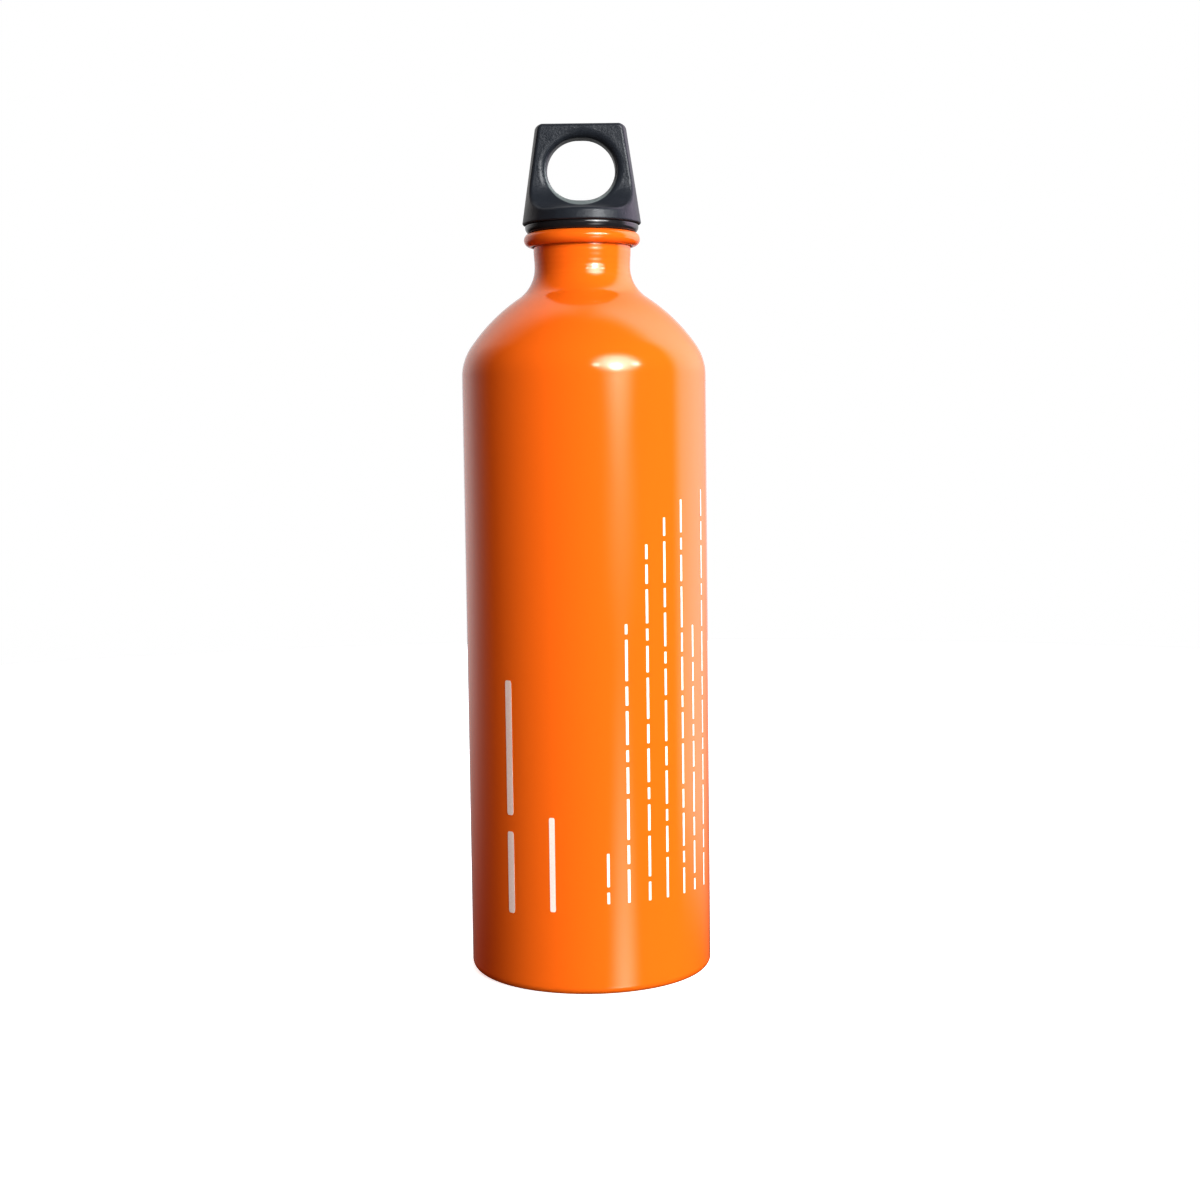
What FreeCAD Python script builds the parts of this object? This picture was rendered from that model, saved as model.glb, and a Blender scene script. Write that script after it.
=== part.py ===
import FreeCAD, Part
import math
import os

# Screw-capped bottle for liquid stove fuel, in millimetres.
# Z points up along the bottle's axis. The origin is the centre of the ring it stands on.
# The cap is drawn screwed home, with its loop facing the front (-Y) and the back (+Y).

# Whole object
body_diameter = 72.0
total_height = 250.0

# Shell: one drawn cup of aluminium sheet, necked in and rolled over at the mouth
side_wall = 0.8
neck_wall = 1.3
base_thickness = 1.6
base_corner_radius = 2.6
stand_ring_width = 3.9
dome_rise = 4.8
dome_blend_radius = 3.2

# Shoulder: two outward arcs and one inward arc, each running smoothly into the next
shoulder_edge_radius = 15.6
shoulder_edge_sweep = 34.5
shoulder_crown_radius = 52.6
shoulder_foot_radius = 10.9

# Neck and rolled rim
neck_diameter = 28.6
neck_height = 9.95
waist_depth = 0.22
waist_length = 5.1
curl_radius = 2.05
curl_slit = 0.35

# Threaded insert that the neck is rolled around
insert_wall = 1.26
insert_drop = 2.0
insert_recess = 1.4
insert_mouth_bevel = 0.7

# Sealing ring, drawn as it is with the cap tightened on it
ring_height = 3.2
ring_width = 3.3
ring_flat_width = 1.8
ring_underside_gap = 2.35

# Cap: a cone with a hollow scooped from the front and from the back, which leaves a loop
cap_side_angle = 8.45
cap_skirt_height = 3.5
cap_lip = 0.7
cap_lower_edge_radius = 0.5
cap_top_corner_radius = 1.6
loop_thickness = 11.0
loop_sill = 2.8
loop_bar = 3.9
loop_hole_width = 20.0
loop_hole_height = 18.5
loop_hole_edge_radius = 2.5
loop_edge_radius = 1.1
scoop_radius = 9.0

# Stem of the cap: its plain core, without the thread
stem_length = 14.0
stem_wall = 2.2
stem_tip_bevel = 0.8
stem_core_roof = 2.6
stem_core_blend = 1.5

# Clearances
thread_room = 1.15
insert_fit = 0.04
seat_clearance = 0.02
ring_side_clearance = 0.1

# Sizes that follow from the ones above
body_radius = body_diameter / 2
neck_radius = neck_diameter / 2
neck_bore_radius = neck_radius - neck_wall
waist_radius = neck_radius - waist_depth
cap_height = cap_skirt_height + loop_sill + loop_hole_height + loop_bar
cap_underside = total_height - cap_height
rim_height = cap_underside - ring_underside_gap
waist_height = rim_height - neck_height
curl_centre_radius = neck_bore_radius + curl_radius
curl_centre_height = rim_height - curl_radius
ring_bottom = rim_height + seat_clearance
ring_top = ring_bottom + ring_height
groove_roof = ring_top + seat_clearance
groove_inner = curl_centre_radius - ring_width / 2 - ring_side_clearance
groove_outer = curl_centre_radius + ring_width / 2 + ring_side_clearance
scoop_floor = cap_underside + cap_skirt_height
hole_centre_height = total_height - loop_bar - loop_hole_height / 2
cap_slope = math.tan(math.radians(cap_side_angle))
cap_base_radius = groove_outer + cap_lip
cap_top_radius = cap_base_radius - cap_height * cap_slope
insert_radius = neck_bore_radius - insert_fit
insert_bore_radius = insert_radius - insert_wall
stem_radius = insert_bore_radius - thread_room
stem_tip = cap_underside - stem_length


def point(r, z):
    """A point of a turned outline: r from the axis, z up."""
    return FreeCAD.Vector(r, 0, z)


def line(start, end):
    return Part.LineSegment(start, end).toShape()


def arc(centre, radius, start_degrees, end_degrees):
    """Arc of a turned outline. Angles run from +X towards +Z."""
    places = []
    for degrees in (start_degrees, (start_degrees + end_degrees) / 2, end_degrees):
        turn = math.radians(degrees)
        places.append(centre + FreeCAD.Vector(radius * math.cos(turn), 0, radius * math.sin(turn)))
    return Part.Arc(places[0], places[1], places[2]).toShape()


def outline(pieces):
    """Join arcs and single points into one closed outline, with straight lines between them."""
    same_place = 1e-6
    edges = []
    first = None
    last = None
    for piece in pieces:
        is_edge = hasattr(piece, "Edges")
        start = piece.firstVertex(True).Point if is_edge else piece
        end = piece.lastVertex(True).Point if is_edge else piece
        if first is None:
            first = start
        elif last.distanceToPoint(start) > same_place:
            edges.append(line(last, start))
        if is_edge:
            edges.append(piece)
        last = end
    if last.distanceToPoint(first) > same_place:
        edges.append(line(last, first))
    return Part.Wire(edges)


def turned(pieces):
    """Solid made by turning a closed outline about the Z axis."""
    face = Part.Face(outline(pieces))
    return face.revolve(FreeCAD.Vector(0, 0, 0), FreeCAD.Vector(0, 0, 1), 360)


def shoulder_arcs(side_inset, neck_inset):
    """Shoulder outline from the waist down to the cylinder, set in by the sheet's thickness.
    The second change of arc is at the angle that makes the three arcs span from wall to waist."""
    edge_radius = shoulder_edge_radius - side_inset
    crown_radius = shoulder_crown_radius - (side_inset + neck_inset) / 2
    foot_radius = shoulder_foot_radius + neck_inset
    reach = body_radius - side_inset - waist_radius + neck_inset
    a = math.radians(shoulder_edge_sweep)
    left_over = edge_radius * (1 - math.cos(a)) + crown_radius * math.cos(a) + foot_radius - reach
    b = math.acos(left_over / (crown_radius + foot_radius))
    foot = point(waist_radius + shoulder_foot_radius, waist_height)
    both = crown_radius + foot_radius
    step = crown_radius - edge_radius
    crown = foot - point(both * math.cos(b), both * math.sin(b))
    edge = crown + point(step * math.cos(a), step * math.sin(a))
    first = shoulder_edge_sweep
    second = math.degrees(b)
    return [
        arc(foot, foot_radius, 180, 180 + second),
        arc(crown, crown_radius, second, first),
        arc(edge, edge_radius, first, 0),
    ]


def waist_arcs(inset):
    """Neck outline from its full radius down to the rolled-in waist, set in by a thickness."""
    bend = (waist_depth ** 2 + waist_length ** 2) / (4 * waist_depth)
    sweep = math.degrees(math.asin(waist_length / (2 * bend)))
    upper = point(neck_radius - bend, waist_height + waist_length)
    lower = point(waist_radius + bend, waist_height)
    return [
        arc(upper, bend - inset, 0, -sweep),
        arc(lower, bend + inset, 180 - sweep, 180),
    ]


def base_arcs(inset):
    """Base outline from the wall in to the axis: corner, standing ring, blend and dome."""
    corner_radius = base_corner_radius - min(inset, side_wall)
    wall_radius = body_radius - min(inset, side_wall)
    ring_inner = body_radius - base_corner_radius - stand_ring_width
    dome_radius = (ring_inner ** 2 / dome_rise - 2 * dome_blend_radius + dome_rise) / 2
    dome = point(0, dome_rise - dome_radius)
    blend = point(ring_inner, dome_blend_radius)
    slant = math.degrees(math.atan2(blend.z - dome.z, blend.x))
    return [
        arc(point(wall_radius - corner_radius, inset + corner_radius), corner_radius, 0, -90),
        arc(blend, dome_blend_radius - inset, 270, 180 + slant),
        arc(dome, dome_radius + inset, slant, 90),
    ]


def bottle_shell():
    """One sheet of metal from the middle of the base to the hidden end of the rolled rim."""
    curl = point(curl_centre_radius, curl_centre_height)
    tuck = (curl_centre_radius - neck_radius - curl_slit) / curl_radius
    curl_end = 180 + math.degrees(math.acos(tuck)) - 360
    outside = shoulder_arcs(0, 0) + base_arcs(0)
    inside = shoulder_arcs(side_wall, neck_wall) + base_arcs(base_thickness)
    inner_path = [arc(curl, curl_radius, curl_end, 180)] + waist_arcs(neck_wall) + inside
    outer_path = [arc(curl, curl_radius - neck_wall, curl_end, 180)] + waist_arcs(0) + outside
    return turned(inner_path + reversed_path(outer_path))


def reversed_path(edges):
    """The same run of arcs walked the other way."""
    back = []
    for edge in reversed(edges):
        middle = edge.valueAt((edge.FirstParameter + edge.LastParameter) / 2)
        start = edge.lastVertex(True).Point
        end = edge.firstVertex(True).Point
        back.append(Part.Arc(start, middle, end).toShape())
    return back


def thread_insert():
    """Sleeve inside the neck. Its outside follows the waist, which is what keeps it in place."""
    gap = neck_wall + insert_fit
    bore = insert_bore_radius
    top = rim_height - insert_recess
    bottom = waist_height - insert_drop
    foot = point(waist_radius + shoulder_foot_radius, waist_height)
    foot_sweep = math.degrees(math.asin(insert_drop / (shoulder_foot_radius + gap)))
    outside = [point(insert_radius, top)] + waist_arcs(gap)
    outside.append(arc(foot, shoulder_foot_radius + gap, 180, 180 + foot_sweep))
    inside = [
        point(bore + insert_mouth_bevel, bottom),
        point(bore, bottom + insert_mouth_bevel),
        point(bore, top - insert_mouth_bevel),
        point(bore + insert_mouth_bevel, top),
    ]
    return turned(outside + inside)


def sealing_ring():
    """Round rubber ring, flattened above and below where it is squeezed."""
    middle = curl_centre_radius
    flat = ring_flat_width / 2
    bulge = ring_width / 2
    half = ring_height / 2
    level = ring_bottom + half
    outer_arc = Part.Arc(point(middle + flat, ring_bottom), point(middle + bulge, level),
                         point(middle + flat, ring_top)).toShape()
    inner_arc = Part.Arc(point(middle - flat, ring_top), point(middle - bulge, level),
                         point(middle - flat, ring_bottom)).toShape()
    return turned([outer_arc, inner_arc])


def cap_cone():
    """The cap's outside before anything is scooped from it, with its two round edges."""
    level = 1e-6
    cone = Part.makeCone(cap_base_radius, cap_top_radius, cap_height,
                         FreeCAD.Vector(0, 0, cap_underside))
    upper = [edge for edge in cone.Edges if abs(edge.BoundBox.ZMin - total_height) < level]
    rounded = cone.makeFillet(cap_top_corner_radius, upper)
    lower = [edge for edge in rounded.Edges if abs(edge.BoundBox.ZMax - cap_underside) < level]
    return rounded.makeFillet(cap_lower_edge_radius, lower)


def scoop_tool():
    """What is hollowed from the front: a flat face that curves out into a level floor."""
    face_y = -loop_thickness / 2
    far_y = -body_diameter
    above = total_height + cap_height
    turn = scoop_radius * math.sqrt(0.5)
    curve_start = FreeCAD.Vector(0, face_y, scoop_floor + scoop_radius)
    curve_middle = FreeCAD.Vector(0, face_y - scoop_radius + turn, scoop_floor + scoop_radius - turn)
    curve_end = FreeCAD.Vector(0, face_y - scoop_radius, scoop_floor)
    corners = [
        FreeCAD.Vector(0, far_y, scoop_floor),
        FreeCAD.Vector(0, far_y, above),
        FreeCAD.Vector(0, face_y, above),
    ]
    edges = [
        Part.Arc(curve_start, curve_middle, curve_end).toShape(),
        line(curve_end, corners[0]),
        line(corners[0], corners[1]),
        line(corners[1], corners[2]),
        line(corners[2], curve_start),
    ]
    profile = Part.Face(Part.Wire(edges))
    profile.translate(FreeCAD.Vector(-body_diameter, 0, 0))
    return profile.extrude(FreeCAD.Vector(2 * body_diameter, 0, 0))


def hole_tool():
    """Through hole of the loop: a circle drawn out a little sideways."""
    radius = loop_hole_height / 2
    shift = (loop_hole_width - loop_hole_height) / 2
    top = hole_centre_height + radius
    bottom = hole_centre_height - radius
    y = -body_diameter / 2

    def place(x, z):
        return FreeCAD.Vector(x, y, z)

    edges = [
        line(place(-shift, top), place(shift, top)),
        Part.Arc(place(shift, top), place(shift + radius, hole_centre_height),
                 place(shift, bottom)).toShape(),
        line(place(shift, bottom), place(-shift, bottom)),
        Part.Arc(place(-shift, bottom), place(-shift - radius, hole_centre_height),
                 place(-shift, top)).toShape(),
    ]
    return Part.Face(Part.Wire(edges)).extrude(FreeCAD.Vector(0, body_diameter, 0))


def edges_on_both(solid, first, second):
    """Edges of a solid that lie on the skin of two other shapes, tried at three places of each."""
    near_one_end, middle, near_other_end = 0.15, 0.5, 0.85
    on_skin = 1e-4
    chosen = []
    first_skin = first.Shells[0]
    second_skin = second.Shells[0]
    for edge in solid.Edges:
        span = edge.LastParameter - edge.FirstParameter
        worst = 0.0
        for share in (near_one_end, middle, near_other_end):
            spot = Part.Vertex(edge.valueAt(edge.FirstParameter + share * span))
            worst = max(worst, spot.distToShape(first_skin)[0], spot.distToShape(second_skin)[0])
        if worst < on_skin:
            chosen.append(edge)
    return chosen


def hole_rounding():
    """Edge radius of the hole, kept under what the narrowest part of the loop has room for."""
    usable_share = 0.9
    side_radius = cap_base_radius - (hole_centre_height - cap_underside) * cap_slope
    half_width = math.sqrt(side_radius ** 2 - (loop_thickness / 2) ** 2)
    web = min(half_width - loop_hole_width / 2, loop_bar)
    return min(loop_hole_edge_radius, usable_share * (web - loop_edge_radius))


def loop_cap():
    """One moulding: a cone with a loop above, a groove for the ring below and a hollow stem."""
    cone = cap_cone()
    front = scoop_tool()
    back = front.copy()
    back.rotate(FreeCAD.Vector(0, 0, 0), FreeCAD.Vector(0, 0, 1), 180)
    hole = hole_tool()
    loop = cone.cut(front).cut(back).cut(hole)
    hole_edges = edges_on_both(loop, hole, front) + edges_on_both(loop, hole, back)
    loop = loop.makeFillet(hole_rounding(), hole_edges)
    outer_edges = edges_on_both(loop, cone, front) + edges_on_both(loop, cone, back)
    loop = loop.makeFillet(loop_edge_radius, outer_edges)
    groove = turned([
        point(groove_inner, cap_underside - stem_length),
        point(groove_outer, cap_underside - stem_length),
        point(groove_outer, groove_roof),
        point(groove_inner, groove_roof),
    ])
    whole = loop.cut(groove).fuse(cap_stem()).cut(stem_core()).removeSplitter()
    return whole.Solids[0]


def cap_stem():
    """Core of the screw under the cap, with a bevelled tip."""
    return turned([
        point(0, stem_tip),
        point(stem_radius - stem_tip_bevel, stem_tip),
        point(stem_radius, stem_tip + stem_tip_bevel),
        point(stem_radius, cap_underside + cap_skirt_height / 2),
        point(0, cap_underside + cap_skirt_height / 2),
    ])


def stem_core():
    """Hollow inside the stem, open at the tip and rounded at its roof."""
    radius = stem_radius - stem_wall
    roof = scoop_floor - stem_core_roof
    return turned([
        point(0, stem_tip - stem_length),
        point(radius, stem_tip - stem_length),
        arc(point(radius - stem_core_blend, roof - stem_core_blend), stem_core_blend, 0, 90),
        point(0, roof),
    ])


os.makedirs("parts", exist_ok=True)

nodes = {
    "bottle_shell": bottle_shell(),
    "thread_insert": thread_insert(),
    "sealing_ring": sealing_ring(),
    "loop_cap": loop_cap(),
}

for name, shape in nodes.items():
    shape.exportStep("parts/" + name + ".step")
    box = shape.BoundBox
    print(name, shape.ShapeType, "solids", len(shape.Solids), "valid", shape.isValid(),
          "volume", round(shape.Volume, 1), "z", round(box.ZMin, 2), round(box.ZMax, 2),
          "width", round(box.XLength, 2), round(box.YLength, 2))
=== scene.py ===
# %% [markdown]
# # A screw-capped bottle for stove fuel
# The bottle carries liquid fuel for a camping stove. Its body is one cup of aluminium, drawn
# thin, narrowed to a neck, rolled outwards at the mouth and sprayed orange. A threaded sleeve
# sits in the neck. A black moulded cap with a loop for a finger or a cord screws into it and
# presses on a rubber ring.
#
# The lesson dresses a finished engineering model. Shapes that the model has are kept and get a
# finish. Shapes that it leaves out, such as the screw threads, are modelled here.

# %% Open the engineering model
import math

import bmesh
import bpy
from mathutils import Matrix, Vector


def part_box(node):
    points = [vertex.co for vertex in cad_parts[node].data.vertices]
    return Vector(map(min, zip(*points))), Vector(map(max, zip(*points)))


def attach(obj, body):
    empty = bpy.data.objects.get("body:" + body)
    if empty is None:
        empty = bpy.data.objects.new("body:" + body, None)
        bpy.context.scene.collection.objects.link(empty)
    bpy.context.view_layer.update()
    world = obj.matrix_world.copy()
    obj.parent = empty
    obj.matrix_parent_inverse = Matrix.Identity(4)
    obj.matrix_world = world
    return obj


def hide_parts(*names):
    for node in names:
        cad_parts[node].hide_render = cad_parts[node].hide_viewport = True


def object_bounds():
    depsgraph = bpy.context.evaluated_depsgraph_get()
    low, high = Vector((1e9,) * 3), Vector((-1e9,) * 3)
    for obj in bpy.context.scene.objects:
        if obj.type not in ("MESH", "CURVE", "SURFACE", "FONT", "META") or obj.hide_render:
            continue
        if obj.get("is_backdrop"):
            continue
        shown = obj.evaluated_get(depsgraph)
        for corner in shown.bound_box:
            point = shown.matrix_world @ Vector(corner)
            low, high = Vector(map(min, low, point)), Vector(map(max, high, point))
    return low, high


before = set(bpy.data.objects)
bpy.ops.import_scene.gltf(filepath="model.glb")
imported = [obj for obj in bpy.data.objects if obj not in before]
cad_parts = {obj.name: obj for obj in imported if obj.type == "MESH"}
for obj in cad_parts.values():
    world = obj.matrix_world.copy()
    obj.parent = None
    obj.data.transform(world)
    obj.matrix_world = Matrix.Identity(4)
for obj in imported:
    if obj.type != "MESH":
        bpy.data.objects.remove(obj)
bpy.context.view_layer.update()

# %% [markdown]
# ## A pen for outlines
# Nearly everything on this bottle is round, so it starts as a flat outline that is then turned
# about the upright axis, as on a lathe. The outline could be a table of points, but then nobody
# could see which radius belongs to what. Here a pen draws it as a draughtsman would: a single
# vertex is pulled out into a straight edge, or swung about a centre into an arc.

# %% Pen strokes
mm = 0.001


def pen_down(outline, reach, height):
    """First corner of an outline: reach from the axis and height, in millimetres."""
    return outline.verts.new((reach * mm, 0, height * mm))


def draw_line(outline, pen, reach, height):
    """Pull a straight edge out of the last corner."""
    tip = bmesh.ops.extrude_vert_indiv(outline, verts=[pen])["verts"][0]
    tip.co = (reach * mm, 0, height * mm)
    return tip


def draw_arc(outline, pen, reach, height, degrees, steps):
    """Swing the last corner about a centre. Positive degrees turn from outwards to upwards."""
    swung = bmesh.ops.spin(outline, geom=[pen], cent=(reach * mm, 0, height * mm), axis=(0, -1, 0),
                           angle=math.radians(degrees), steps=steps, use_merge=False)
    return next(part for part in swung["geom_last"] if isinstance(part, bmesh.types.BMVert))


# %% [markdown]
# ## From mesh to piece
# A turned outline closes on itself, so the last step lies on the first, and points on the axis
# lie on each other. Merging them closes the seam and the poles. Only after that do the faces
# know which side is out, so the normals are worked out last. The piece then rides on the part
# of the engineering model that carries it.

# %% Finish a piece
merge_distance = 0.001 * mm


def finish_piece(shape, name, body, sharp_degrees=40):
    """Close the seams, face the skin outwards and hand the piece to the body that carries it."""
    bmesh.ops.remove_doubles(shape, verts=shape.verts[:], dist=merge_distance)
    bmesh.ops.recalc_face_normals(shape, faces=shape.faces[:])
    open_edges = sum(1 for edge in shape.edges if not edge.is_manifold)
    mesh = bpy.data.meshes.new(name)
    shape.to_mesh(mesh)
    shape.free()
    mesh.shade_smooth()
    mesh.set_sharp_from_angle(angle=math.radians(sharp_degrees))
    piece = bpy.data.objects.new(name, mesh)
    bpy.context.scene.collection.objects.link(piece)
    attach(piece, body)
    print(name, "has", len(mesh.polygons), "faces and", open_edges, "open edges")
    return piece


# %% [markdown]
# ## The can
# The can is one sheet of metal. From the middle of the base it runs over a shallow dome, down to
# the ring that the bottle stands on, round the corner, up the wall, over the shoulder in two
# arcs, through a hollow arc into the neck and round the rolled rim. The inside is the same walk,
# set in by the thickness of the sheet, so one function draws both sides.

# %% Sizes of the can, in millimetres
body_radius = 36.0
wall, neck_wall, base_sheet = 0.8, 1.3, 1.6  # thickness of the sheet
base_corner = 2.6  # rounding between base and side
stand_ring = 3.9  # width of the flat ring on the floor
dome_rise, dome_blend = 4.8, 3.2
edge_radius, edge_degrees = 15.6, 34.5  # first arc of the shoulder
crown_radius = 52.6  # second and flatter arc
foot_radius = 10.9  # hollow arc into the neck
neck_radius, waist_radius, waist_length = 14.3, 14.08, 5.1
curl_radius, curl_slit = 2.05, 0.35  # the slit lies between the neck and the edge of the roll
print("the can is", 2 * body_radius, "mm across")

# %% Heights of the neck and the rim
rim_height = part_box("bottle_shell")[1].z / mm
waist_drop = 9.95
waist_height = rim_height - waist_drop
curl_reach = neck_radius - neck_wall + curl_radius
curl_height = rim_height - curl_radius
curl_end = math.degrees(math.acos((curl_reach - neck_radius - curl_slit) / curl_radius))
curl_degrees = curl_end - 360
print("the rim is rolled through", round(-curl_degrees), "degrees")


# %% Base and wall of the can
def draw_base(outline, wall_in, base_in):
    """From the axis over the dome, the standing ring and the corner to the foot of the wall."""
    ring_inner = body_radius - base_corner - stand_ring
    dome_radius = (ring_inner ** 2 / dome_rise - 2 * dome_blend + dome_rise) / 2
    dome_centre = dome_rise - dome_radius
    slant = math.degrees(math.atan2(dome_blend - dome_centre, ring_inner))
    pen = pen_down(outline, 0, dome_rise + base_in)
    pen = draw_arc(outline, pen, 0, dome_centre, slant - 90, steps=10)
    pen = draw_arc(outline, pen, ring_inner, dome_blend, 90 - slant, steps=4)
    pen = draw_line(outline, pen, body_radius - base_corner, base_in)
    return draw_arc(outline, pen, body_radius - base_corner, base_in + base_corner - wall_in, 90, steps=8)


# %% [markdown]
# ### Arcs that meet smoothly
# Each arc must leave where the last one ended and in the same direction, or a crease would show in
# the gloss. So the centres lie on one line at every joint. The angle where the swelling arc hands
# over to the hollow one is worked out from the widths and not measured.

# %% Shoulder of the can
def draw_shoulder(outline, pen, wall_in, neck_in):
    """Up the wall, out over two swelling arcs and in along a hollow one to the waist."""
    edge = edge_radius - wall_in
    crown = crown_radius - (wall_in + neck_in) / 2
    foot = foot_radius + neck_in
    first = math.radians(edge_degrees)
    inward = body_radius - wall_in - waist_radius + neck_in
    left_over = edge * (1 - math.cos(first)) + crown * math.cos(first) + foot - inward
    second = math.acos(left_over / (crown + foot))
    foot_x, foot_z = waist_radius + foot_radius, waist_height
    crown_x = foot_x - (crown + foot) * math.cos(second)
    crown_z = foot_z - (crown + foot) * math.sin(second)
    edge_x = crown_x + (crown - edge) * math.cos(first)
    edge_z = crown_z + (crown - edge) * math.sin(first)
    pen = draw_line(outline, pen, body_radius - wall_in, edge_z)
    pen = draw_arc(outline, pen, edge_x, edge_z, edge_degrees, steps=12)
    pen = draw_arc(outline, pen, crown_x, crown_z, math.degrees(second) - edge_degrees, steps=12)
    return draw_arc(outline, pen, foot_x, foot_z, -math.degrees(second), steps=14)


# %% Neck and rolled rim of the can
def draw_neck(outline, pen, neck_in, roll_radius):
    """Through the rolled-in waist, straight up and round the rim."""
    waist_depth = neck_radius - waist_radius
    bend = (waist_depth ** 2 + waist_length ** 2) / (4 * waist_depth)
    lean = math.degrees(math.asin(waist_length / (2 * bend)))
    pen = draw_arc(outline, pen, waist_radius + bend, waist_height, -lean, steps=4)
    pen = draw_arc(outline, pen, neck_radius - bend, waist_height + waist_length, lean, steps=4)
    pen = draw_line(outline, pen, curl_reach - roll_radius, curl_height)
    return draw_arc(outline, pen, curl_reach, curl_height, curl_degrees, steps=34)


# %% [markdown]
# ### Turn the outline
# The outer and the inner walk are drawn one after the other, and one edge at the rim joins them. A
# full turn of that outline makes the whole can, without a seam.

# %% Turn the can
steps_round = 168
can = bmesh.new()
tips = []
for wall_in, neck_in, base_in, roll in ((0, 0, 0, curl_radius - neck_wall),
                                        (wall, neck_wall, base_sheet, curl_radius)):
    pen = draw_base(can, wall_in, base_in)
    pen = draw_shoulder(can, pen, wall_in, neck_in)
    tips.append(draw_neck(can, pen, neck_in, roll))
can.edges.new(tips)
bmesh.ops.spin(can, geom=can.verts[:] + can.edges[:], cent=(0, 0, 0), axis=(0, 0, 1),
               angle=math.tau, steps=steps_round, use_merge=True)
bottle_can = finish_piece(can, "bottle_can", "bottle")
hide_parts("bottle_shell")

# %% [markdown]
# ## Screw threads
# The sleeve in the neck and the stem of the cap carry a coarse right-handed thread that climbs
# three millimetres in a turn. A thread is a small section carried round and up at the same time.
# Spin does that when it also gets a step along the axis. A real thread doesn't stop dead: its
# ridge sinks into the wall at both ends, so the section is carried on a little way and flattened.

# %% Carry a section up a helix
thread_pitch = 3.0
steps_in_turn = 72
run_out_steps = 14


def carry_section(thread, section, direction, root):
    """Sink the ridge into its wall over a short way: one small turn and a smaller section each time."""
    turn = Matrix.Rotation(direction * math.tau / steps_in_turn, 3, "Z")
    rise = Vector((0, 0, direction * thread_pitch * mm / steps_in_turn))
    for step in range(run_out_steps):
        pulled = bmesh.ops.extrude_edge_only(thread, edges=section)["geom"]
        corners = [part for part in pulled if isinstance(part, bmesh.types.BMVert)]
        section = [part for part in pulled if isinstance(part, bmesh.types.BMEdge)
                   and part.verts[0] in corners and part.verts[1] in corners]
        bmesh.ops.rotate(thread, verts=corners, cent=(0, 0, 0), matrix=turn)
        bmesh.ops.translate(thread, verts=corners, vec=rise)
        keep = (run_out_steps - step - 1) / (run_out_steps - step)
        for corner in corners:
            reach = math.hypot(corner.co.x, corner.co.y)
            new_reach = root * mm + (reach - root * mm) * keep
            corner.co.x *= new_reach / reach
            corner.co.y *= new_reach / reach


# %% Make one thread
def thread_ridge(name, body, root, crest, low, turns, root_width, crest_width, start_degrees):
    """A ridge that winds up a wall at root and reaches in or out to crest."""
    thread = bmesh.new()
    pen = first = pen_down(thread, root, low - root_width / 2)
    pen = draw_line(thread, pen, crest, low - crest_width / 2)
    pen = draw_line(thread, pen, crest, low + crest_width / 2)
    pen = draw_line(thread, pen, root, low + root_width / 2)
    thread.edges.new((pen, first))
    bmesh.ops.rotate(thread, verts=thread.verts[:], cent=(0, 0, 0),
                     matrix=Matrix.Rotation(math.radians(start_degrees), 3, "Z"))
    start = thread.edges[:]
    wound = bmesh.ops.spin(thread, geom=thread.verts[:] + start, cent=(0, 0, 0), axis=(0, 0, 1),
                           dvec=(0, 0, thread_pitch * mm / steps_in_turn), angle=math.tau * turns,
                           steps=round(steps_in_turn * turns), use_merge=False)
    end = [part for part in wound["geom_last"] if isinstance(part, bmesh.types.BMEdge)]
    carry_section(thread, end, 1, root)
    carry_section(thread, start, -1, root)
    bmesh.ops.holes_fill(thread, edges=thread.edges[:], sides=4)
    return finish_piece(thread, name, body, sharp_degrees=30)


# %% Wind both threads
sleeve_bore, stem_radius = 11.7, 10.55
bite = 0.05  # how far a ridge reaches into its wall, so that no gap shows
first_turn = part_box("thread_insert")[0].z / mm + 2
sleeve_thread = thread_ridge("sleeve_thread", "bottle", root=sleeve_bore + bite, crest=10.82,
                             low=first_turn, turns=2.5, root_width=1.5, crest_width=0.7,
                             start_degrees=0)
stem_thread = thread_ridge("stem_thread", "cap", root=stem_radius - bite, crest=11.45,
                           low=first_turn + 0.5, turns=2.3, root_width=1.5, crest_width=0.7,
                           start_degrees=240)

# %% [markdown]
# ## Print on the wall
# White print runs up the lower half of the wall in nine rows. It is ink a few hundredths of a
# millimetre thick that follows the wall, so a flat decal would not do. Each bar starts as one
# upright edge that is spun a few degrees about the bottle's axis, which bends it exactly as the
# wall is bent. Its corners are rounded, and a skin is pulled inwards to give it thickness.

# %% One bar of ink
ink_radius, ink_sheet = 36.03, 0.05


def ink_bar(print_mesh, degrees, width, low, high):
    """A bar of ink of that width at degrees round from the front, from low to high."""
    sweep = math.degrees(width / ink_radius)
    turn = math.radians(degrees - sweep / 2)
    x, y = ink_radius * math.sin(turn) * mm, -ink_radius * math.cos(turn) * mm
    ends = [print_mesh.verts.new((x, y, z * mm)) for z in (low, high)]
    edge = print_mesh.edges.new(ends)
    bent = bmesh.ops.spin(print_mesh, geom=ends + [edge], cent=(0, 0, 0), axis=(0, 0, 1),
                          angle=math.radians(sweep), steps=4, use_merge=False)
    last = [part for part in bent["geom_last"] if isinstance(part, bmesh.types.BMVert)]
    bmesh.ops.bevel(print_mesh, geom=ends + last, offset=0.4 * width * mm, affect="VERTICES",
                    segments=3, profile=0.5, material=-1)


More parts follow.
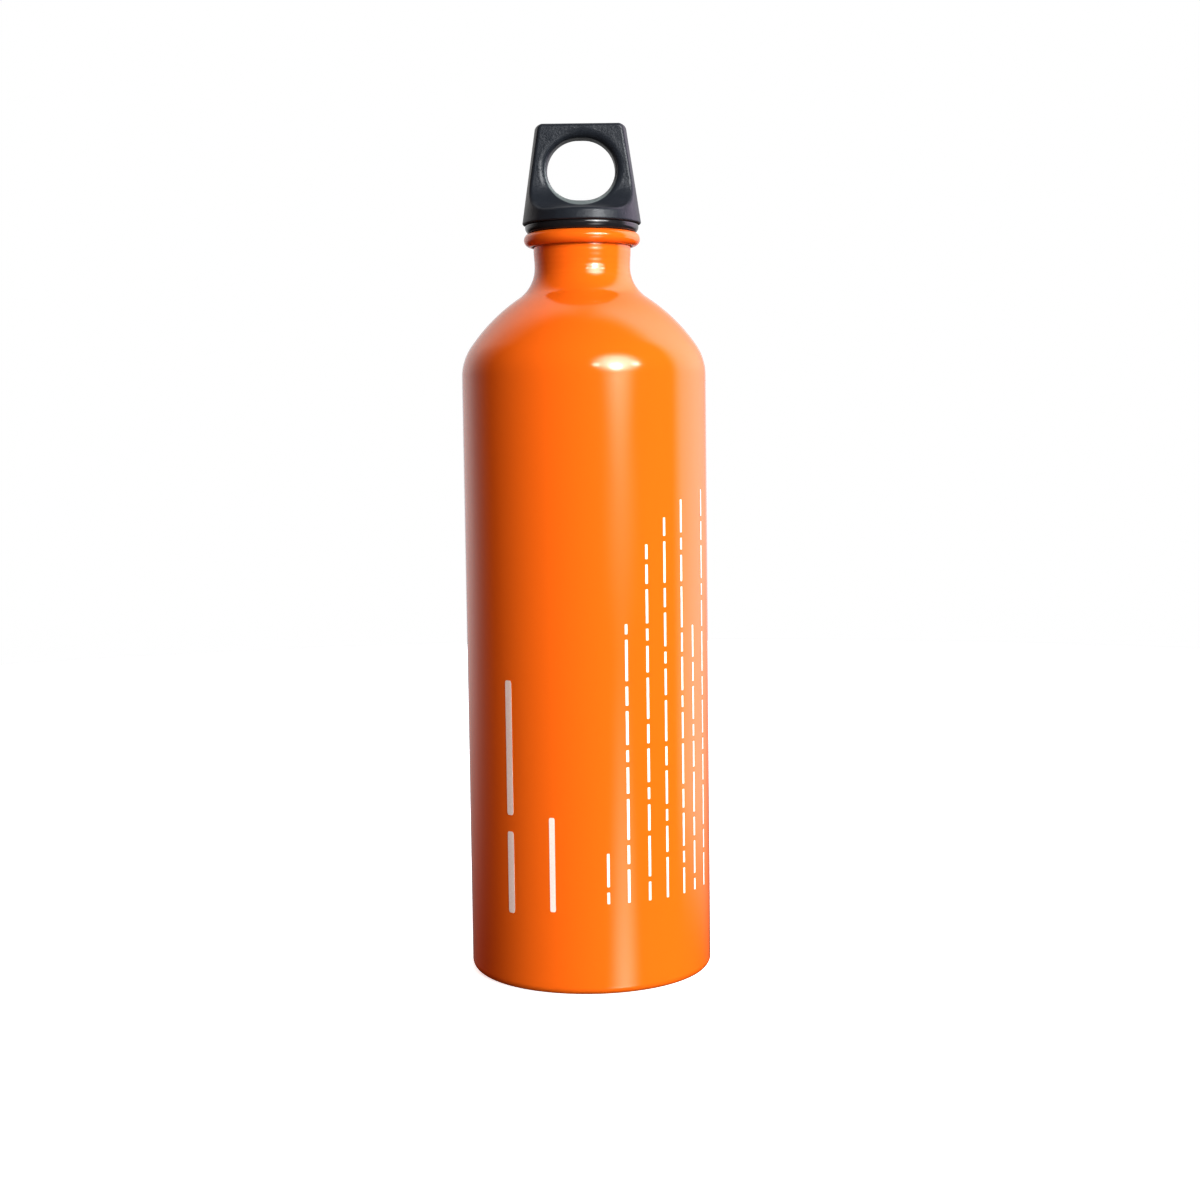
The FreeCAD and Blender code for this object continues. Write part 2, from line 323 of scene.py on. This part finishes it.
# %% Rows of ink
ink = bmesh.new()
for degrees, width, low, high in ((-39.4, 2.3, 22.6, 46.4),
                                  (-39.4, 2.3, 51.2, 90.2),
                                  (-17.6, 1.7, 24.2, 51.5)):
    ink_bar(ink, degrees, width, low, high)
row_foot, dash_width, dash_gap = 26.6, 0.85, 1.5
shortest_dash, dash_step, dash_lengths = 3.4, 2.1, 5
row_tops = {8.0: 44.1, 17.6: 106.5, 28.0: 128.8, 37.9: 136.2, 48.8: 141.1, 57.6: 104.6, 68.1: 143.6}
for row, (degrees, top) in enumerate(row_tops.items()):
    low = row_foot
    dash = row
    while low < top - dash_gap:
        length = shortest_dash + dash_step * ((dash * 3) % dash_lengths)
        high = min(low + length, top)
        ink_bar(ink, degrees, dash_width, low, high)
        low = high + dash_gap
        dash += 1

# %% Thickness of the ink
bmesh.ops.solidify(ink, geom=ink.faces[:], thickness=ink_sheet * mm)
wall_print = finish_piece(ink, "wall_print", "bottle", sharp_degrees=30)
reach = max(math.hypot(point.co.x, point.co.y) for point in wall_print.data.vertices)
print("ink reaches", round(reach / mm, 3), "mm out")

# %% [markdown]
# ## Shared effects
# Several finishes need the same small irregularities: a fine grain, patches that are a little
# glossier where hands have been, and the fine rings that a turning tool leaves. Each is a node
# group, so that a finish only says how large and how strong its own version is.

# %% Start a node group
def start_group(name, inputs, output):
    """An empty group with number inputs after its place, and one number out."""
    group = bpy.data.node_groups.new(name, "ShaderNodeTree")
    group.interface.new_socket("Place", in_out="INPUT", socket_type="NodeSocketVector")
    for label, value in inputs:
        socket = group.interface.new_socket(label, in_out="INPUT", socket_type="NodeSocketFloat")
        socket.default_value = value
    group.interface.new_socket(output, in_out="OUTPUT", socket_type="NodeSocketFloat")
    return group, group.nodes.new("NodeGroupInput"), group.nodes.new("NodeGroupOutput")


# %% Fine grain
grain_group, grain_in, grain_out = start_group("fine_grain", [("Grains per metre", 2000)], "Height")
grain_noise = grain_group.nodes.new("ShaderNodeTexNoise")
grain_noise.inputs["Detail"].default_value = 2
grain_group.links.new(grain_in.outputs["Place"], grain_noise.inputs["Vector"])
grain_group.links.new(grain_in.outputs["Grains per metre"], grain_noise.inputs["Scale"])
grain_group.links.new(grain_noise.outputs["Fac"], grain_out.inputs["Height"])
print("made", grain_group.name)

# %% Handling marks
marks_group, marks_in, marks_out = start_group(
    "handling_marks", [("Patches per metre", 30), ("Smooth", 0.2), ("Dull", 0.3)], "Roughness")
marks_noise = marks_group.nodes.new("ShaderNodeTexNoise")
marks_noise.inputs["Detail"].default_value = 5
marks_range = marks_group.nodes.new("ShaderNodeMapRange")
marks_range.inputs["From Min"].default_value = 0.3
marks_range.inputs["From Max"].default_value = 0.7
marks_group.links.new(marks_in.outputs["Place"], marks_noise.inputs["Vector"])
marks_group.links.new(marks_in.outputs["Patches per metre"], marks_noise.inputs["Scale"])
marks_group.links.new(marks_noise.outputs["Fac"], marks_range.inputs["Value"])
marks_group.links.new(marks_in.outputs["Smooth"], marks_range.inputs["To Min"])
marks_group.links.new(marks_in.outputs["Dull"], marks_range.inputs["To Max"])
marks_group.links.new(marks_range.outputs["Result"], marks_out.inputs["Roughness"])
print("made", marks_group.name)

# %% Turned rings
rings_group, rings_in, rings_out = start_group("turned_rings", [("Rings per metre", 3000)], "Height")
rings_split = rings_group.nodes.new("ShaderNodeSeparateXYZ")
rings_noise = rings_group.nodes.new("ShaderNodeTexNoise")
rings_noise.noise_dimensions = "1D"
rings_noise.inputs["Detail"].default_value = 1
rings_group.links.new(rings_in.outputs["Place"], rings_split.inputs["Vector"])
rings_group.links.new(rings_split.outputs["Z"], rings_noise.inputs["W"])
rings_group.links.new(rings_in.outputs["Rings per metre"], rings_noise.inputs["Scale"])
rings_group.links.new(rings_noise.outputs["Fac"], rings_out.inputs["Height"])
print("groups:", [group.name for group in bpy.data.node_groups])


# %% [markdown]
# ## Finishes
# Each finish is one Principled shader. A value that is the same all over sits on the shader
# itself, and only what changes over the surface comes in through nodes. All patterns read Object
# coordinates, which are metres on the bottle itself, so a grain of half a millimetre is that size.

# %% Start a finish and place a shared effect
def start_finish(name):
    """A new material with its node tree, its shader and the place on the piece."""
    finish = bpy.data.materials.new(name)
    finish.use_nodes = True
    tree = finish.node_tree
    place = tree.nodes.new("ShaderNodeTexCoord").outputs["Object"]
    return finish, tree, tree.nodes["Principled BSDF"], place


def use_group(tree, group, place, **values):
    """Place a shared effect in a finish and set its sizes."""
    node = tree.nodes.new("ShaderNodeGroup")
    node.node_tree = group
    tree.links.new(place, node.inputs["Place"])
    for label, value in values.items():
        node.inputs[label.replace("_", " ")].default_value = value
    return node.outputs[0]


# %% [markdown]
# ### Sums, shares and colours
# A pattern becomes a finish by small sums: how far a place is from a line, what share of an effect
# it gets there, and which two tones are mixed by that share.

# %% Sums, distances and shares
def combine(tree, operation, *terms):
    """A small sum on values that change over the surface."""
    node = tree.nodes.new("ShaderNodeMath")
    node.operation = operation
    for socket, term in zip(node.inputs, terms):
        if isinstance(term, (int, float)):
            socket.default_value = term
        else:
            tree.links.new(term, socket)
    return node.outputs[0]


def distance(tree, place, weights, centre=(0, 0, 0)):
    """How far a place is from a centre, in metres, along the axes that have weight."""
    scaled = tree.nodes.new("ShaderNodeVectorMath")
    scaled.operation = "MULTIPLY"
    scaled.inputs[1].default_value = weights
    tree.links.new(place, scaled.inputs[0])
    away = tree.nodes.new("ShaderNodeVectorMath")
    away.operation = "DISTANCE"
    away.inputs[1].default_value = centre
    tree.links.new(scaled.outputs["Vector"], away.inputs[0])
    return away.outputs["Value"]


def ramp(tree, value, none, full):
    """A share that goes smoothly from nothing at one value to all at another, up or down."""
    step = tree.nodes.new("ShaderNodeMapRange")
    step.interpolation_type = "SMOOTHSTEP"
    step.inputs["From Min"].default_value = none
    step.inputs["From Max"].default_value = full
    tree.links.new(value, step.inputs["Value"])
    return step.outputs["Result"]


# %% Relief and colour
def raise_surface(tree, shader, height, depth):
    """Let a height pattern tilt the surface. Depth is in millimetres."""
    bump = tree.nodes.new("ShaderNodeBump")
    bump.inputs["Distance"].default_value = depth * mm
    tree.links.new(height, bump.inputs["Height"])
    tree.links.new(bump.outputs["Normal"], shader.inputs["Normal"])


def blend(tree, share, low_tone, high_tone):
    """A colour between two tones, by a share that changes over the surface."""
    mix = tree.nodes.new("ShaderNodeMix")
    mix.data_type = "RGBA"
    tree.links.new(share, mix.inputs["Factor"])
    for label, tone in (("A", low_tone), ("B", high_tone)):
        if isinstance(tone, tuple):
            mix.inputs[label].default_value = (*tone, 1)
        else:
            tree.links.new(tone, mix.inputs[label])
    return mix.outputs["Result"]


def tint(tree, shader, share, low_tone, high_tone):
    """Base colour between two tones."""
    tree.links.new(blend(tree, share, low_tone, high_tone), shader.inputs["Base Color"])


# %% [markdown]
# ### Orange lacquer
# The can is sprayed and baked, which leaves a hard gloss that is never quite flat: it keeps a
# faint wave like the skin of an orange. On the neck the wheel that narrowed it left shallow
# rings, and they break the highlight there into steps. The ring that the bottle stands on is
# rubbed down to the metal in small spots.

# %% Mix the orange lacquer
lacquer, tree, shader, place = start_finish("orange_lacquer")
split = tree.nodes.new("ShaderNodeSeparateXYZ")
tree.links.new(place, split.inputs["Vector"])
from_axis = distance(tree, place, (1, 1, 0))
orange_skin = use_group(tree, grain_group, place, Grains_per_metre=420)
ring_pitch, neck_reach, ring_start = 1.54 * mm, 14.5 * mm, 206 * mm
ring_angle = combine(tree, "MULTIPLY", split.outputs["Z"], math.tau / ring_pitch)
wheel_rings = combine(tree, "SINE", ring_angle)
on_neck = combine(tree, "LESS_THAN", from_axis, neck_reach)
above_waist = combine(tree, "GREATER_THAN", split.outputs["Z"], ring_start)
neck_rings = combine(tree, "MULTIPLY", wheel_rings, combine(tree, "MULTIPLY", on_neck, above_waist))
shallow = combine(tree, "MULTIPLY", neck_rings, 0.4)
height = combine(tree, "MULTIPLY_ADD", orange_skin, 0.12, shallow)
raise_surface(tree, shader, height, depth=0.024)

# %% Colour and gloss of the lacquer
at_floor = combine(tree, "LESS_THAN", split.outputs["Z"], 0.12 * mm)
rub_spots = use_group(tree, grain_group, place, Grains_per_metre=900)
rubbed = combine(tree, "MULTIPLY", at_floor, combine(tree, "GREATER_THAN", rub_spots, 0.56))
tint(tree, shader, rubbed, (0.81, 0.172, 0.012), (0.74, 0.75, 0.76))
tree.links.new(rubbed, shader.inputs["Metallic"])
gloss = use_group(tree, marks_group, place, Patches_per_metre=28, Smooth=0.08, Dull=0.12)
tree.links.new(gloss, shader.inputs["Roughness"])
print("orange lacquer has", len(tree.nodes), "nodes")

# %% [markdown]
# ### Bare aluminium
# The inside of the can and the sleeve are bare. Both were turned, so their surface is a stack of
# fine rings that draw highlights out along the axis.

# %% Mix the bare aluminium
bare, tree, shader, place = start_finish("bare_aluminium")
rings = use_group(tree, rings_group, place, Rings_per_metre=4200)
raise_surface(tree, shader, rings, depth=0.02)
tone = use_group(tree, grain_group, place, Grains_per_metre=160)
tint(tree, shader, tone, (0.66, 0.67, 0.69), (0.82, 0.83, 0.84))
dull = use_group(tree, marks_group, place, Patches_per_metre=90, Smooth=0.28, Dull=0.42)
tree.links.new(dull, shader.inputs["Roughness"])
shader.inputs["Metallic"].default_value = 1.0
print("bare aluminium has", len(tree.nodes), "nodes")

# %% [markdown]
# ### Black plastic
# The cap is moulded in a tool whose walls were spark-eroded to a fine satin. That grain shows as
# small sparkles where the light grazes it. The two halves of the tool meet in the plane of the
# loop, and a hair of plastic stands up where they met. The rounded front and back edges of the
# lower half of the loop's hole are painted a paler grey: a painted highlight where they catch light.

# %% Mix the black plastic
plastic, tree, shader, place = start_finish("black_plastic")
split = tree.nodes.new("ShaderNodeSeparateXYZ")
tree.links.new(place, split.inputs["Vector"])
satin = use_group(tree, grain_group, place, Grains_per_metre=1500)
sunk = use_group(tree, grain_group, place, Grains_per_metre=110)
from_seam = combine(tree, "ABSOLUTE", split.outputs["Y"])
seam = combine(tree, "LESS_THAN", from_seam, 0.09 * mm)
height = combine(tree, "MULTIPLY_ADD", satin, 1.5, combine(tree, "MULTIPLY", seam, 0.6))
height = combine(tree, "MULTIPLY_ADD", sunk, 10, height)
raise_surface(tree, shader, height, depth=0.05)

# %% Colour and gloss of the plastic
hole_centre = 236.8
from_hole = distance(tree, place, (1, 0, 1), (0, 0, hole_centre * mm))
lower_half = ramp(tree, split.outputs["Z"], (hole_centre + 5) * mm, (hole_centre - 3) * mm)
# Painted highlight: a paler grey on the rounded front and back edges of the lower half of the hole.
lip_edge = combine(tree, "MULTIPLY", ramp(tree, from_hole, 10.9 * mm, 10.5 * mm), lower_half)
painted_lip_highlight = combine(tree, "MULTIPLY", lip_edge, ramp(tree, from_seam, 3.8 * mm, 4.6 * mm))
cloud = use_group(tree, grain_group, place, Grains_per_metre=240)
clean_tone = blend(tree, cloud, (0.020, 0.024, 0.031), (0.030, 0.035, 0.044))
tint(tree, shader, painted_lip_highlight, clean_tone, (0.20, 0.225, 0.225))
dull = use_group(tree, marks_group, place, Patches_per_metre=70, Smooth=0.35, Dull=0.45)
tree.links.new(dull, shader.inputs["Roughness"])
shader.inputs["Specular IOR Level"].default_value = 0.4
print("black plastic has", len(tree.nodes), "nodes")

# %% [markdown]
# ### Black rubber
# The ring is smooth rubber, glossier than the cap, with a fine line round its middle where its
# mould opened.

# %% Mix the black rubber
rubber, tree, shader, place = start_finish("black_rubber")
split = tree.nodes.new("ShaderNodeSeparateXYZ")
tree.links.new(place, split.inputs["Vector"])
ring_low, ring_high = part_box("sealing_ring")
ring_middle = (ring_low.z + ring_high.z) / 2
from_line = combine(tree, "ABSOLUTE", combine(tree, "SUBTRACT", split.outputs["Z"], ring_middle))
flash = combine(tree, "LESS_THAN", from_line, 0.06 * mm)
skin = use_group(tree, grain_group, place, Grains_per_metre=1500)
height = combine(tree, "ADD", flash, combine(tree, "MULTIPLY", skin, 0.15))
raise_surface(tree, shader, height, depth=0.012)
tint(tree, shader, skin, (0.016, 0.016, 0.018), (0.028, 0.028, 0.030))
dull = use_group(tree, marks_group, place, Patches_per_metre=120, Smooth=0.15, Dull=0.22)
tree.links.new(dull, shader.inputs["Roughness"])
print("the line round the ring is at", round(ring_middle / mm, 2), "mm")

# %% [markdown]
# ### White ink
# Screen print is a thin chalky coat. It lets a little of the lacquer through where the mesh of
# the screen left it thinner.

# %% Mix the white ink
white_ink, tree, shader, place = start_finish("white_ink")
mesh_marks = use_group(tree, grain_group, place, Grains_per_metre=1800)
tint(tree, shader, mesh_marks, (0.80, 0.66, 0.58), (0.90, 0.84, 0.80))
raise_surface(tree, shader, mesh_marks, depth=0.006)
dull = use_group(tree, marks_group, place, Patches_per_metre=60, Smooth=0.30, Dull=0.42)
tree.links.new(dull, shader.inputs["Roughness"])
print("white ink has", len(tree.nodes), "nodes")

# %% [markdown]
# ## Dress the pieces
# The can needs two finishes: lacquer wherever the spray could reach, bare metal inside. The way a
# face looks decides which it gets. The other pieces have one finish each.

# %% Lacquer outside, bare inside
base_zone = 8  # below this height, in millimetres, a face belongs to the base
underside_tilt = -0.05  # faces of the base that look down more than this are outside
spray_reach = -0.35  # how far over the rim's inner edge the spray gets


def sprayed(face):
    """True for a face that looks out of the bottle, down at the floor or up from the rim."""
    centre = face.center / mm
    outwards = face.normal.xy.dot(centre.xy) / centre.xy.length
    if centre.z < base_zone:
        return face.normal.z < underside_tilt or centre.xy.length > body_radius - wall / 2
    if centre.z > curl_height:
        return outwards > spray_reach
    return outwards > 0


bottle_can.data.materials.append(lacquer)
bottle_can.data.materials.append(bare)
for face in bottle_can.data.polygons:
    face.material_index = 0 if sprayed(face) else 1
print(sum(1 for face in bottle_can.data.polygons if face.material_index), "faces are bare")

# %% One finish each
for piece, finish in ((sleeve_thread, bare), (stem_thread, plastic), (wall_print, white_ink)):
    piece.data.materials.append(finish)
for node, finish in (("thread_insert", bare), ("sealing_ring", rubber), ("loop_cap", plastic)):
    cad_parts[node].data.materials.clear()
    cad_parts[node].data.materials.append(finish)
    print(node, "gets", finish.name)

# %% [markdown]
# ## Studio
# A glossy bottle shows all that stands round it, so its light is planned as surroundings. Separate
# lamps would be mirrored with hard edges. Here the sky itself is painted by direction instead: one
# oval soft box with three bulbs in it at the right of the camera, its dim image in the table below,
# and a wall behind the bottle that is brighter and a little pink at its right end. The camera sees
# plain white. Two red cards on the left light the shaded side and are not mirrored. A lower display
# gamma deepens the shade, as the film of a product photograph does.

# %% [markdown]
# ### Floor
# The floor is a pale disc just under the bottle. It glows a little, so that it meets the white behind
# without an edge. The other surfaces do not see it, because the table's image is painted in the sky.

# %% Floor
floor_radius, floor_drop = 0.9, 0.05 * mm
stage_floor = bmesh.new()
bmesh.ops.create_circle(stage_floor, cap_ends=True, radius=floor_radius, segments=96)
bmesh.ops.translate(stage_floor, verts=stage_floor.verts[:], vec=(0, 0, -floor_drop))
floor_mesh = bpy.data.meshes.new("floor")
stage_floor.to_mesh(floor_mesh)
stage_floor.free()
floor = bpy.data.objects.new("floor", floor_mesh)
bpy.context.scene.collection.objects.link(floor)
floor.visible_diffuse = False
floor.visible_glossy = False
floor.visible_shadow = False
floor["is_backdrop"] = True

# %% Finish of the floor
pale, tree, shader, place = start_finish("pale_floor")
mottle = use_group(tree, grain_group, place, Grains_per_metre=40)
tint(tree, shader, mottle, (0.86, 0.86, 0.86), (0.88, 0.88, 0.88))
shader.inputs["Roughness"].default_value = 0.9
shader.inputs["Specular IOR Level"].default_value = 0.1
shader.inputs["Emission Color"].default_value = (1, 1, 1, 1)
shader.inputs["Emission Strength"].default_value = 0.75
floor.data.materials.append(pale)
print("the floor is", 2 * floor_radius, "m across")

# %% [markdown]
# ### Painted sky
# The sky knows one thing only: the direction in which a ray leaves. A dot product with an axis tells
# how far that direction points along the axis, and every patch of light is made of such numbers.

# %% Directions in the sky
world = bpy.data.worlds.new("studio_sky")
bpy.context.scene.world = world
world.use_nodes = True
tree = world.node_tree
toward = tree.nodes.new("ShaderNodeTexCoord").outputs["Generated"]


def along(axis):
    """How far a direction in the sky points along an axis."""
    dot = tree.nodes.new("ShaderNodeVectorMath")
    dot.operation = "DOT_PRODUCT"
    dot.inputs[1].default_value = axis
    tree.links.new(toward, dot.inputs[0])
    return dot.outputs["Value"]


# %% Oval patches of light
def glow(azimuth, elevation, half_width, half_height, core, radiance):
    """A patch that is full in its core and fades to its edge.

    Azimuth runs from the camera's side to the right. Sizes are half angles in degrees.
    """
    turn, lift = math.radians(azimuth), math.radians(elevation)
    level = Vector((math.sin(turn) * math.cos(lift), -math.cos(turn) * math.cos(lift), 0))
    middle = level + Vector((0, 0, math.sin(lift)))
    side = Vector((math.cos(turn), math.sin(turn), 0))
    across = along(side / math.sin(math.radians(half_width)))
    upright = along(middle.cross(side) / math.sin(math.radians(half_height)))
    squares = [combine(tree, "MULTIPLY", offset, offset) for offset in (across, upright)]
    patch = ramp(tree, combine(tree, "SQRT", combine(tree, "ADD", *squares)), 1, core)
    this_side = combine(tree, "GREATER_THAN", along(middle), 0)
    return combine(tree, "MULTIPLY", combine(tree, "MULTIPLY", patch, this_side), radiance)


# %% Soft box, bulbs and their image in the table
soft_box = glow(azimuth=32.5, elevation=20.5, half_width=27, half_height=23.5, core=0.3, radiance=16)
lamps = [glow(azimuth=30.5, elevation=14, half_width=9, half_height=11, core=0, radiance=34),
         glow(azimuth=12, elevation=18, half_width=5, half_height=6, core=0, radiance=22),
         glow(azimuth=51, elevation=18, half_width=6, half_height=7, core=0, radiance=22)]
table_edge = glow(azimuth=33, elevation=-2, half_width=22, half_height=7, core=0, radiance=1.7)
table_image = glow(azimuth=32, elevation=-30, half_width=18, half_height=26, core=0, radiance=6.6)
print("patches of light:", 3 + len(lamps))

# %% [markdown]
# ### Wall behind
# The wall shows as the pale stripes at both edges of the bottle. At its left end it is dim, brightest
# near its corner, and fades downwards. At its right end it is bright down to the table. High up it
# is a little brighter, which shows on the shoulder and the neck.

# %% Wall behind
backward, rightward, upward = along((0, 1, 0)), along((1, 0, 0)), along((0, 0, 1))
round_wall = combine(tree, "ARCTAN2", rightward, backward)
left_edge = ramp(tree, round_wall, math.radians(-87), math.radians(-40))
higher = ramp(tree, upward, 0.02, 0.15)
left_tone = combine(tree, "MULTIPLY_ADD", higher, 0.1, ramp(tree, upward, -0.35, -0.02))
left_corner = ramp(tree, round_wall, math.radians(-8), math.radians(-45))
left_side = combine(tree, "MULTIPLY", left_edge, combine(tree, "MULTIPLY_ADD", left_corner, 0.4, 0.84))
left_end = combine(tree, "MULTIPLY", left_side, left_tone)
right_tone = combine(tree, "MULTIPLY_ADD", higher, 0.15, ramp(tree, upward, -0.31, -0.20))
right_end = combine(tree, "MULTIPLY", right_tone, 2.7)
right_share = ramp(tree, round_wall, math.radians(18), math.radians(70))
tone = combine(tree, "MULTIPLY_ADD", right_share, combine(tree, "SUBTRACT", right_end, left_end), left_end)
behind = ramp(tree, backward, -0.04, 0.26)
wall_glow = combine(tree, "MULTIPLY", tone, behind)
print("sky nodes so far:", len(tree.nodes))

# %% Light the sky
room_glow = 0.015
sky = room_glow
for patch in (soft_box, *lamps, table_edge, table_image, wall_glow):
    sky = combine(tree, "ADD", sky, patch)
strength = tree.nodes.new("ShaderNodeMix")
strength.data_type = "FLOAT"
to_camera = tree.nodes.new("ShaderNodeLightPath").outputs["Is Camera Ray"]
tree.links.new(to_camera, strength.inputs["Factor"])
tree.links.new(sky, strength.inputs["A"])
strength.inputs["B"].default_value = 1
background = tree.nodes["Background"]
pink_share = combine(tree, "MULTIPLY", combine(tree, "MULTIPLY", right_share, behind),
                     combine(tree, "SUBTRACT", 1, to_camera))
tree.links.new(blend(tree, pink_share, (1, 1, 1), (1.0, 0.8, 1.0)), background.inputs["Color"])
tree.links.new(strength.outputs["Result"], background.inputs["Strength"])
bpy.context.scene.view_settings.view_transform = "Standard"
bpy.context.scene.view_settings.gamma = 0.8
print("the sky has", len(tree.nodes), "nodes")

# %% [markdown]
# ### Red cards
# Light that bounces off the orange bottle and the table comes back red. A large card far off lights
# the whole shaded side. A small one low and near lights only the foot.

# %% Fill the shade
def red_card(name, azimuth, away, height, size, power, colour):
    """A soft light that stands on the left, faces the bottle's axis and is not mirrored."""
    lamp = bpy.data.lights.new(name, "AREA")
    lamp.shape = "SQUARE"
    lamp.size = size
    lamp.energy = power
    lamp.color = colour
    turn = math.radians(azimuth)
    outward = Vector((math.sin(turn), -math.cos(turn), 0))
    card = bpy.data.objects.new(name, lamp)
    card.location = away * outward + Vector((0, 0, height))
    card.rotation_euler = outward.to_track_quat("Z", "Y").to_euler()
    card.visible_camera = False
    card.visible_glossy = False
    bpy.context.scene.collection.objects.link(card)


red_card("shade_card", azimuth=-85, away=1.0, height=0.12, size=0.6, power=1.5,
         colour=(1.0, 0.12, 0.06))
red_card("table_bounce", azimuth=-125, away=0.18, height=0.0, size=0.12, power=0.11,
         colour=(1.0, 0.45, 0.25))
print("cards:", [lamp.name for lamp in bpy.data.lights])

# %% [markdown]
# ## Camera
# The camera stands a little above the middle of the bottle, tips down by five degrees and leans
# over by less than one. Its place and lens were worked out from the outline of the bottle.

# %% Set the camera
pitch, yaw, roll = 0.0869, 0.0068, -0.0134  # radians
forward = Vector((math.sin(yaw) * math.cos(pitch), math.cos(yaw) * math.cos(pitch), -math.sin(pitch)))
level_right = Vector((math.cos(yaw), -math.sin(yaw), 0))
level_up = level_right.cross(forward)
right = math.cos(roll) * level_right + math.sin(roll) * level_up
up = math.cos(roll) * level_up - math.sin(roll) * level_right
stand = Matrix((right, up, -forward)).transposed().to_4x4()
stand.translation = (0, -0.5736, 0.16042)
lens = bpy.data.cameras.new("camera")
lens.sensor_width, lens.lens = 36.0, 57.71
camera = bpy.data.objects.new("camera", lens)
camera.matrix_world = stand
bpy.context.scene.collection.objects.link(camera)
bpy.context.scene.camera = camera
camera_place = tuple(round(part, 4) for part in stand.translation)
print("the lens is", round(lens.lens, 2), "mm and the camera stands at", camera_place)

# %% [markdown]
# ## Size of the dressed bottle
# The dressed bottle must keep the size of the engineering model, so its box is printed.

# %% Measure the dressed box
low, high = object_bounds()
print("dressed box in metres:", tuple(low), tuple(high))
